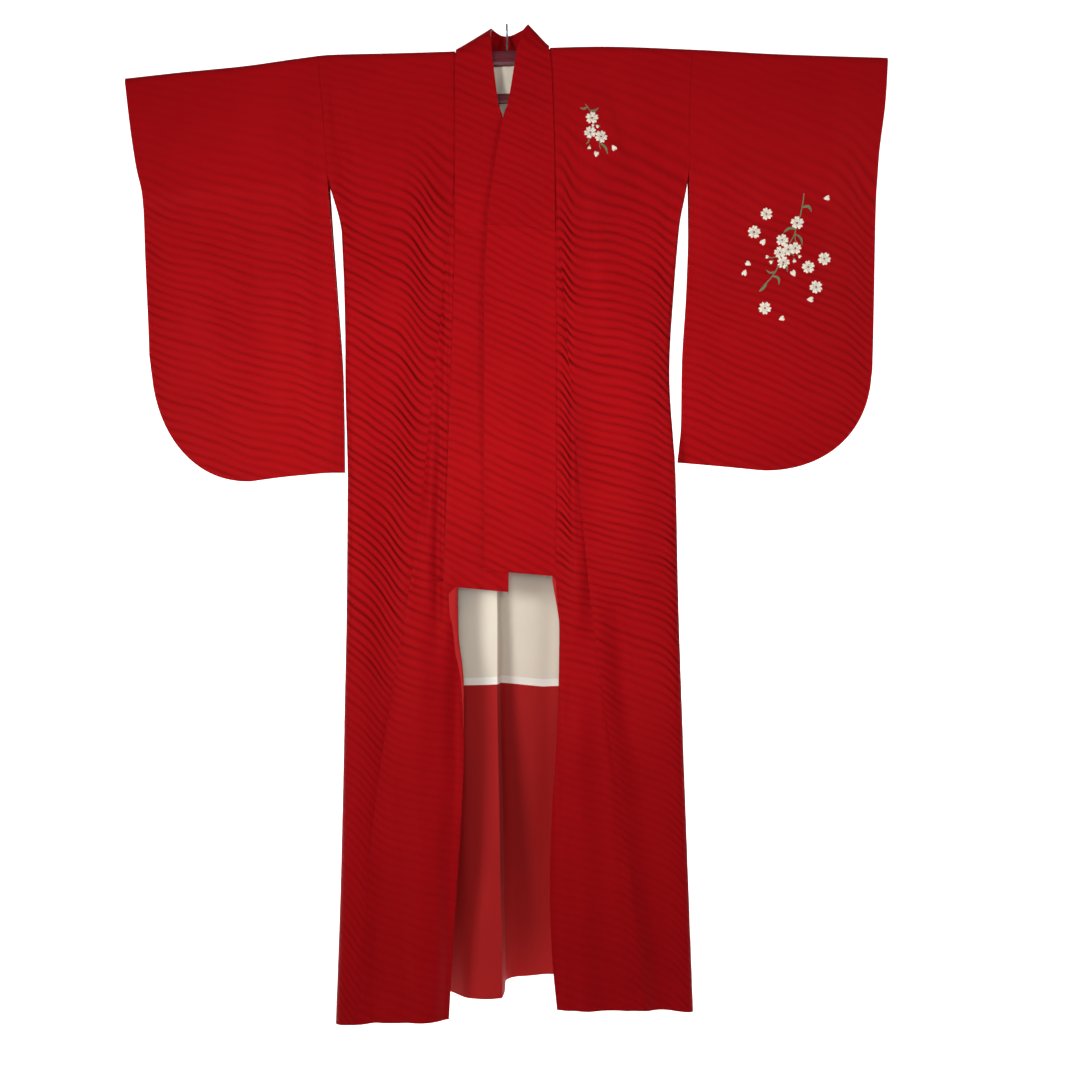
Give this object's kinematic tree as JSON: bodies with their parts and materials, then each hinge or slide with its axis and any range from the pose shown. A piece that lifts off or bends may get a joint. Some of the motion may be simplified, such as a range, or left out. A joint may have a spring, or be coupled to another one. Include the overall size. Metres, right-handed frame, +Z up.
{
  "type": "kimono on a kimono hanger",
  "caption": "Women's lined red kimono with long open-backed sleeves, hung open-fronted on a two-bar kimono hanger with a hook.",
  "frame": {"origin": "inside top of the hanger's hook, on a rail", "axes": "+Z up, +X to the viewer's right, +Y away from the viewer, who faces the fronts"},
  "size_m": [1.2944, 0.1946, 1.6803],
  "materials": {
    "red_silk": "ribbed silk with a soft sheen",
    "cream_lining": "plain matte silk",
    "red_lining": "plain matte silk",
    "maroon_plastic": "smooth",
    "steel": "smooth wire"
  },
  "bodies": {
    "root": {"body_shoulder_right": "red_silk", "body_shoulder_left": "red_silk", "body_front_right": "red_silk", "body_front_left": "red_silk", "body_side_right": "red_silk", "body_side_left": "red_silk", "body_upper_back_right": "red_silk", "body_upper_back_left": "red_silk", "body_back_right": "red_silk", "body_back_left": "red_silk", "overlap_right": "red_silk", "overlap_left": "red_silk", "sleeve_front_right": "red_silk", "sleeve_back_right": "red_silk", "sleeve_front_left": "red_silk", "sleeve_back_left": "red_silk", "collar_right": "red_silk", "collar_left": "red_silk", "over_collar": "red_silk", "lining_upper_right": "cream_lining", "lining_upper_left": "cream_lining", "lining_lower_right": "red_lining", "lining_lower_left": "red_lining", "hanger_upper_bar": "maroon_plastic", "hanger_lower_bar": "maroon_plastic", "hanger_link_right": "maroon_plastic", "hanger_link_left": "maroon_plastic", "hanger_hook": "steel"}
  },
  "joints": []
}
